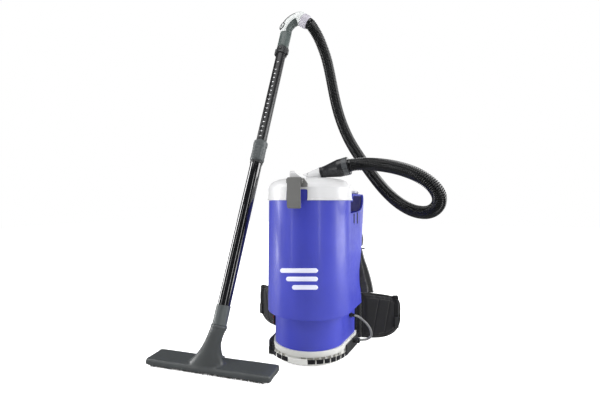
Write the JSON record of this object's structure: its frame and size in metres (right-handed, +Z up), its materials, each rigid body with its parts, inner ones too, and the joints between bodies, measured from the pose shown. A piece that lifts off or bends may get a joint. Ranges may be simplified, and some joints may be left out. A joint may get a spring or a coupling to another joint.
{
  "type": "backpack vacuum cleaner",
  "caption": "Backpack vacuum cleaner: blue canister with hinged white lid, padded harness, corrugated hose, telescopic wand and wide floor head.",
  "frame": {"origin": "centre of the round front of the canister, at floor level, on the underside of the rubber foot pad", "axes": "+Z up, -Y towards the canister front where the lid latch is, +Y towards the wearer, +X to the right seen from the front"},
  "size_m": [0.783, 0.4792, 1.0982],
  "materials": {
    "body_blue": "satin moulded blue-violet polypropylene",
    "recess_navy": "dark navy moulded insert",
    "ring_grey": "light grey moulded plastic",
    "lid_white": "gloss off-white moulded plastic",
    "latch_grey": "mid grey fine-textured plastic",
    "black_plastic": "black moulded plastic",
    "hose_black": "black corrugated polyethylene",
    "tube_black": "high-gloss black-chromed steel",
    "collar_grey": "slate grey moulded plastic",
    "handle_grey": "light grey satin plastic",
    "swivel_grey": "lavender-grey satin plastic",
    "knob_grey": "grey satin plastic",
    "head_charcoal": "charcoal fine-textured plastic",
    "bristle": "black bristle",
    "rubber_black": "black rubber",
    "pad_black": "black air-mesh and ripstop over foam",
    "webbing_black": "black woven webbing",
    "webbing_grey": "grey woven webbing",
    "steel": "bright steel",
    "motor_steel": "plated motor can",
    "fan_alu": "pressed aluminium",
    "filter_paper": "paper and felt filter medium",
    "switch_red": "red rocker",
    "cable_grey": "grey flexible cord"
  },
  "bodies": {
    "canister": {"canister_shell": "body_blue", "side_grip_inserts": "recess_navy", "motor_housing": "body_blue", "switch_bezel": "black_plastic", "base_ring": "ring_grey", "base_plate": "black_plastic", "rubber_foot_pad": "rubber_black", "base_tray": "black_plastic", "exhaust_filter": "filter_paper", "base_screws": "steel", "motor_body": "motor_steel", "fan_housing": "motor_steel", "motor_gasket": "rubber_black", "pre_motor_filter": "filter_paper", "filter_bag": "filter_paper", "lid_hinge_pins": "steel", "suction_hose": "hose_black", "back_plate": "black_plastic", "back_pad": "pad_black", "harness_standoffs": "black_plastic", "wing_hinge_rods": "steel", "shoulder_straps": "pad_black", "strap_webbing": "webbing_grey", "strap_buckles": "steel", "power_pigtail": "cable_grey", "strain_relief": "black_plastic"},
    "lid": {"lid_shell": "lid_white", "lid_gasket": "rubber_black", "latch_bracket": "latch_grey", "latch_pin": "steel"},
    "latch": {"latch_lever": "latch_grey"},
    "cuff": {"hose_cuff": "black_plastic", "hose_clamp": "collar_grey"},
    "rotor": {"motor_shaft": "steel", "impeller": "fan_alu"},
    "rocker": {"switch_rocker": "switch_red"},
    "hip_left": {"belt_wing_left": "pad_black", "belt_webbing_left": "webbing_black", "belt_buckle_left": "black_plastic"},
    "hip_right": {"belt_wing_right": "pad_black", "belt_webbing_right": "webbing_black", "belt_buckle_right": "black_plastic"},
    "wand": {"lower_tube": "tube_black", "tube_guide_bush": "black_plastic"},
    "collar": {"telescopic_collar": "collar_grey"},
    "handle": {"upper_tube": "tube_black", "detent_strip": "steel", "tube_lock_clip": "black_plastic", "wand_handle": "handle_grey", "grip_strip": "black_plastic"},
    "button": {"release_button": "black_plastic"},
    "bleed": {"bleed_valve_knob": "knob_grey"},
    "swivel": {"swivel_collar": "swivel_grey"},
    "neck": {"neck_sleeve": "head_charcoal", "neck_elbow": "head_charcoal"},
    "head": {"head_shell": "head_charcoal", "sole_plate": "black_plastic", "brush_strips": "bristle", "sole_screws": "steel", "neck_pivot_pins": "steel"}
  },
  "joints": [
    {"name": "lid_hinge", "type": "hinge", "parent": "canister", "child": "lid", "pos_m": [0, 0.131, 0.482], "axis": [-1, 0, 0], "range_deg": [0, 75], "deforming": ["suction_hose"]},
    {"name": "latch_swing", "type": "hinge", "parent": "lid", "child": "latch", "pos_m": [0, -0.137, 0.509], "axis": [-1, 0, 0], "range_deg": [0, 60]},
    {"name": "cuff_spin", "type": "hinge", "parent": "lid", "child": "cuff", "pos_m": [0.0346, 0, 0.539], "axis": [0.9763, 0, 0.2164], "continuous": true},
    {"name": "fan_spin", "type": "hinge", "parent": "canister", "child": "rotor", "pos_m": [0, 0, 0.06], "axis": [0, 0, 1], "continuous": true},
    {"name": "switch_rock", "type": "hinge", "parent": "canister", "child": "rocker", "pos_m": [-0.09948, -0.03232, 0.097], "axis": [0.309, -0.9511, 0], "range_deg": [-8, 8]},
    {"name": "hip_wing_left_fold", "type": "hinge", "parent": "canister", "child": "hip_left", "pos_m": [-0.121, 0.131, 0.09], "axis": [0, 0, -1], "range_deg": [-20, 40]},
    {"name": "hip_wing_right_fold", "type": "hinge", "parent": "canister", "child": "hip_right", "pos_m": [0.121, 0.131, 0.09], "axis": [0, 0, 1], "range_deg": [-20, 40]},
    {"name": "wand_stroke", "type": "slide", "parent": "canister", "child": "wand", "axis": [0.0558, -0.9984, 0], "range_m": [-0.02, 0.1], "deforming": ["suction_hose"]},
    {"name": "collar_release", "type": "slide", "parent": "wand", "child": "collar", "axis": [0.0562, 0.3452, 0.9369], "range_m": [-0.002, 0.007]},
    {"name": "telescope", "type": "slide", "parent": "wand", "child": "handle", "axis": [0.0562, 0.3452, 0.9369], "range_m": [-0.24, 0.016], "deforming": ["suction_hose"]},
    {"name": "release_button_press", "type": "slide", "parent": "handle", "child": "button", "axis": [-0.1117, 0.9346, -0.3376], "range_m": [0, 0.002]},
    {"name": "bleed_valve_turn", "type": "hinge", "parent": "handle", "child": "bleed", "pos_m": [-0.13157, 0.10367, 1.04903], "axis": [-0.4881, -0.809, 0.3274], "range_deg": [0, 90]},
    {"name": "hose_swivel", "type": "hinge", "parent": "handle", "child": "swivel", "pos_m": [-0.0705, 0.1229, 1.0722], "axis": [0.824, 0.129, -0.5517], "continuous": true},
    {"name": "neck_swivel", "type": "hinge", "parent": "wand", "child": "neck", "pos_m": [-0.17613, -0.20801, 0.15891], "axis": [0.0562, 0.3452, 0.9369], "range_deg": [-25, 25]},
    {"name": "head_tilt", "type": "hinge", "parent": "neck", "child": "head", "pos_m": [-0.205, -0.2055, 0.04], "axis": [0.9984, 0.0558, 0], "range_deg": [-28, 20]}
  ]
}
